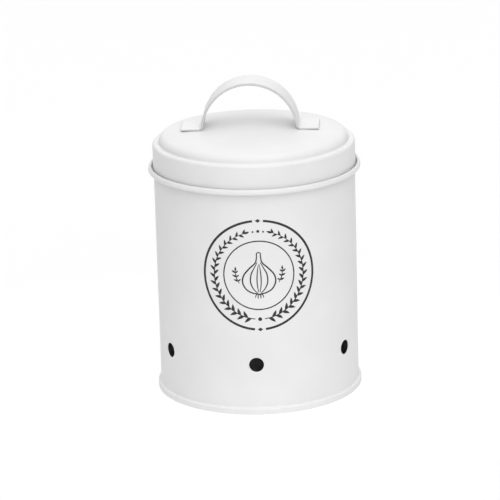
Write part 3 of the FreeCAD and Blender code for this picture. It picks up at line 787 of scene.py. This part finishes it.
def stroke(pts, width, taper=(1.0, 1.0), lift_=0.035, per=10):
    """A line with soft ends; width may swell: taper gives the end widths."""
    line = smooth(pts, per)
    n = len(line)
    grid = []
    for i, p in enumerate(line):
        a, b_ = line[max(i - 1, 0)], line[min(i + 1, n - 1)]
        dx, dy = b_[0] - a[0], b_[1] - a[1]
        k = math.hypot(dx, dy) or 1.0
        t = i / (n - 1)
        w = width / 2
        if t < 0.5:
            w *= taper[0] + (1 - taper[0]) * math.sin(math.pi * t)
        else:
            w *= taper[1] + (1 - taper[1]) * math.sin(math.pi * t)
        nx, ny = -dy / k, dx / k
        grid.append([(p[0] + nx * w * q, p[1] + ny * w * q) for q in (-1.0, 0.0, 1.0)])
    film(grid, lift_)


def leaf(x, y, heading, length, width, lift_=0.035, bend=0.0):
    """Lens-shaped leaf from its stalk end (x, y) along heading, degrees."""
    n = 12
    grid = []
    for i in range(n + 1):
        t = 0.5 - 0.5 * math.cos(math.pi * i / n)
        a = math.radians(heading + bend * (t - 0.5))
        cx, cy = x + math.cos(a) * length * t, y + math.sin(a) * length * t
        w = width / 2 * max(0.03, math.sin(math.pi * t ** 0.8) ** 0.9 if 0 < t < 1 else 0.0)
        nx, ny = -math.sin(a), math.cos(a)
        grid.append([(cx + nx * w * q, cy + ny * w * q) for q in (-1.0, -0.4, 0.4, 1.0)])
    film(grid, lift_)


def disc(x, y, r, lift_=0.035):
    n = 12
    grid = []
    for i in range(n + 1):
        t = -math.cos(math.pi * i / n)
        w = r * math.sqrt(max(0.0004, 1 - t * t))
        grid.append([(x + r * t, y + w * q) for q in (-1.0, -0.5, 0.0, 0.5, 1.0)])
    film(grid, lift_)


def lozenge(x, y, wide, tall, lift_=0.035):
    n = 8
    grid = []
    for i in range(n + 1):
        t = -1 + 2 * i / n
        w = tall / 2 * max(0.02, 1 - abs(t))
        grid.append([(x + wide / 2 * t, y + w * q) for q in (-1.0, -0.5, 0.0, 0.5, 1.0)])
    film(grid, lift_)


# outer ring, open at the top and the foot for a lozenge each
R_OUT, R_IN = 36.6, 35.1
band(R_IN, R_OUT, -84.5, 84.5)
band(R_IN, R_OUT, 95.5, 264.5)
for sgn in (1, -1):
    lozenge(0, sgn * (R_OUT + R_IN) / 2, 3.4, 2.5)
# thin inner ring
band(22.15, 22.95, 0, 360, step=2.0)

# wreath: two branches that rise from the foot
R_STEM = 29.0
for side in (1, -1):
    a0, a1 = -84.0, 72.0
    stem = []
    for i in range(27):
        a = math.radians(a0 + (a1 - a0) * i / 26)
        stem.append((side * R_STEM * math.cos(a), R_STEM * math.sin(a)))
    stroke(stem, 0.7, (0.8, 0.4), per=4)
    count = 17
    for i in range(count):
        t = i / (count - 1)
        a = a0 + 5.0 + (a1 - a0 - 7.0) * t
        size = 1.0 - 0.30 * t
        ar = math.radians(a)
        x, y = R_STEM * math.cos(ar), R_STEM * math.sin(ar)
        along = a + 90
        for out, off in ((-1, 0.0), (1, 4.4)):           # outer leaf, then inner leaf
            if out == 1:
                ar2 = math.radians(a + off)
                if a + off > a1 - 1:
                    continue
                x2, y2 = R_STEM * math.cos(ar2), R_STEM * math.sin(ar2)
                head = along + off + 34
            else:
                x2, y2 = x, y
                head = along - 34
            if side == -1:
                leaf(-x2, y2, 180 - head, 5.2 * size, 2.0 * size, 0.041, bend=-out * 22)
            else:
                leaf(x2, y2, head, 5.2 * size, 2.0 * size, 0.041, bend=out * 22)
    ar = math.radians(a1)
    x, y = R_STEM * math.cos(ar), R_STEM * math.sin(ar)
    if side == -1:
        leaf(-x, y, 180 - (a1 + 90), 3.8, 1.5, 0.041)
    else:
        leaf(x, y, a1 + 90, 3.8, 1.5, 0.041)
disc(0, -R_STEM, 1.25, 0.046)
for sgn in (1, -1):
    disc(sgn * 3.3, R_STEM - 0.35, 0.62)
disc(0, R_STEM, 0.95)

# the bulb in the middle
for m_ in (1, -1):
    stroke([(m_ * 1.25, 14.6), (m_ * 1.35, 11.5), (m_ * 2.3, 8.2), (m_ * 6.0, 4.6), (m_ * 9.6, 0.2),
            (m_ * 10.5, -4.6), (m_ * 8.2, -9.2), (m_ * 4.2, -11.6), (m_ * 1.2, -12.1)], 0.95, (0.7, 0.8))
    stroke([(m_ * 1.0, 8.6), (m_ * 2.9, 5.0), (m_ * 5.0, 0.6), (m_ * 5.4, -4.6), (m_ * 3.6, -9.0), (m_ * 1.2, -11.5)],
           0.85, (0.45, 0.55), 0.041)
    stroke([(m_ * 0.25, 7.4), (m_ * 0.9, 3.0), (m_ * 1.3, -2.0), (m_ * 1.1, -7.0), (m_ * 0.4, -11.2)],
           0.75, (0.4, 0.55), 0.041)
    stroke([(m_ * 1.6, -12.4), (m_ * 2.3, -13.4), (m_ * 2.6, -14.8)], 0.65, (1.0, 0.5), 0.041, per=6)
    stroke([(m_ * 0.6, -12.5), (m_ * 0.9, -13.9), (m_ * 0.8, -15.4)], 0.65, (1.0, 0.5), 0.041, per=6)
stroke([(-1.9, -12.15), (0.0, -12.5), (1.9, -12.15)], 0.9, (0.8, 0.8), 0.046, per=6)
stroke([(-1.35, 14.5), (0.0, 15.1), (1.35, 14.5)], 0.7, (0.8, 0.8), 0.046, per=6)
# a small sprig on each side of the bulb
for m_ in (1, -1):
    stroke([(m_ * 12.6, -5.2), (m_ * 14.4, -1.6), (m_ * 15.0, 2.8)], 0.65, (0.6, 0.5), per=6)
    for x, y, h in ((13.4, -3.7, 20), (14.4, -1.0, 28), (14.9, 1.6, 38)):
        leaf(m_ * x, y, h if m_ > 0 else 180 - h, 3.0, 1.2, 0.041)
        leaf(m_ * x, y, 158 - h * 0.6 if m_ > 0 else 22 + h * 0.6, 2.3, 1.0, 0.041)
    leaf(m_ * 15.0, 2.8, 92 if m_ > 0 else 88, 3.0, 1.2, 0.041)
print_piece = mark.make("front_print", "canister", [ink_black])

# ================================================================ camera
# The view was set up in pixels of a 500 px wide picture; one pixel at the
# object's distance is 0.6602 mm.
PX = 0.6602 * MM
e, roll, dist = math.radians(16.91), math.radians(1.63), 3000.0
right, up, fw = Vector((1, 0, 0)), Vector((0, math.sin(e), math.cos(e))), Vector((0, math.cos(e), -math.sin(e)))
eye = -(6.53 * right - 130.11 * up + dist * fw) * PX
right2 = right * math.cos(roll) - up * math.sin(roll)
up2 = right * math.sin(roll) + up * math.cos(roll)
about = Matrix.Rotation(math.radians(1.96), 4, "Z")
pose = Matrix((right2, up2, -fw)).transposed().to_4x4()
pose.translation = eye
cam_data = bpy.data.cameras.new("camera")
cam_data.sensor_width = 36.0
cam_data.lens = dist / 500.0 * 36.0
cam_data.clip_start, cam_data.clip_end = 0.05, 60.0
cam = bpy.data.objects.new("camera", cam_data)
bpy.context.scene.collection.objects.link(cam)
cam.matrix_world = about @ pose
bpy.context.scene.camera = cam

# ================================================================ floor and light
floor_me = bpy.data.meshes.new("floor")
bm = bmesh.new()
bmesh.ops.create_circle(bm, cap_ends=True, cap_tris=False, segments=64, radius=14.0,
                        matrix=Matrix.Translation((0, 0, -0.00003)))
bmesh.ops.recalc_face_normals(bm, faces=bm.faces)
for f in bm.faces:
    if f.normal.z < 0:
        f.normal_flip()
bm.to_mesh(floor_me)
bm.free()
floor = bpy.data.objects.new("floor", floor_me)
bpy.context.scene.collection.objects.link(floor)
FLOOR_GLOW = 0.58
fm = bpy.data.materials.new("floor_paper")
fm.use_nodes = True
nt = fm.node_tree
fp = nt.nodes["Principled BSDF"]
fp.inputs["Base Color"].default_value = (0.35, 0.35, 0.35, 1)
fp.inputs["Roughness"].default_value = 0.9
fp.inputs["Specular IOR Level"].default_value = 0.1
fp.inputs["Emission Color"].default_value = (1, 1, 1, 1)
# the paper glows a little more close to the canister: painted light that keeps its soft shadow pale
spot = node(nt, "ShaderNodeTexCoord")
far = node(nt, "ShaderNodeVectorMath")
far.operation = "LENGTH"
nt.links.new(spot.outputs["Object"], far.inputs[0])
painted_glow_near = node(nt, "ShaderNodeMapRange")
painted_glow_near.interpolation_type = "SMOOTHSTEP"
for name, value in (("From Min", 0.09), ("From Max", 0.30), ("To Min", FLOOR_GLOW + 0.08), ("To Max", FLOOR_GLOW)):
    painted_glow_near.inputs[name].default_value = value
nt.links.new(far.outputs["Value"], painted_glow_near.inputs["Value"])
nt.links.new(painted_glow_near.outputs["Result"], fp.inputs["Emission Strength"])
# the paper shows on its upper side only, so the foot can be seen from below
clear = node(nt, "ShaderNodeBsdfTransparent")
mixed = node(nt, "ShaderNodeMixShader")
geo = node(nt, "ShaderNodeNewGeometry")
nt.links.new(geo.outputs["Backfacing"], mixed.inputs[0])
nt.links.new(fp.outputs[0], mixed.inputs[1])
nt.links.new(clear.outputs[0], mixed.inputs[2])
nt.links.new(mixed.outputs[0], nt.nodes["Material Output"].inputs["Surface"])
floor_me.materials.append(fm)

# the room: three wide, soft sources, in front and above, to the right, behind
world = bpy.data.worlds.new("studio")
bpy.context.scene.world = world
world.use_nodes = True
wt = world.node_tree
bg = wt.nodes["Background"]
bg.inputs["Color"].default_value = (1, 1, 1, 1)
ROOM = [(15, 40, 5, 2.0), (0, 70, 4, 1.22), (-110, 15, 2, 0.20), (180, 30, 2, 1.08)]   # azimuth, height, tightness, strength
heading = node(wt, "ShaderNodeTexCoord").outputs["Generated"]
total = None
for az, el, power, strength in ROOM:
    a, h = math.radians(az), math.radians(el)
    dot = node(wt, "ShaderNodeVectorMath", operation="DOT_PRODUCT")
    dot.inputs[1].default_value = (math.sin(a) * math.cos(h), -math.cos(a) * math.cos(h), math.sin(h))
    wt.links.new(heading, dot.inputs[0])
    lobe = maths(wt, "POWER", maths(wt, "MAXIMUM", dot.outputs["Value"], 0.0), float(power))
    lobe = maths(wt, "MULTIPLY", lobe, strength)
    total = lobe if total is None else maths(wt, "ADD", total, lobe)
wt.links.new(total, bg.inputs["Strength"])


def softbox(name, place, aim, wide, tall, power):
    data = bpy.data.lights.new(name, "AREA")
    data.shape = "RECTANGLE"
    data.size, data.size_y = wide, tall
    data.energy = power
    ob = bpy.data.objects.new(name, data)
    bpy.context.scene.collection.objects.link(ob)
    ob.location = place
    ob.rotation_mode = "QUATERNION"
    ob.rotation_quaternion = (Vector(aim) - Vector(place)).to_track_quat("-Z", "Y")
    ob.visible_camera = False
    return ob


softbox("overhead", (0.0, -0.1394, 1.6939), (0, 0, 0.1), 2.6, 2.6, 4.0)

bpy.context.scene.view_settings.view_transform = "Standard"
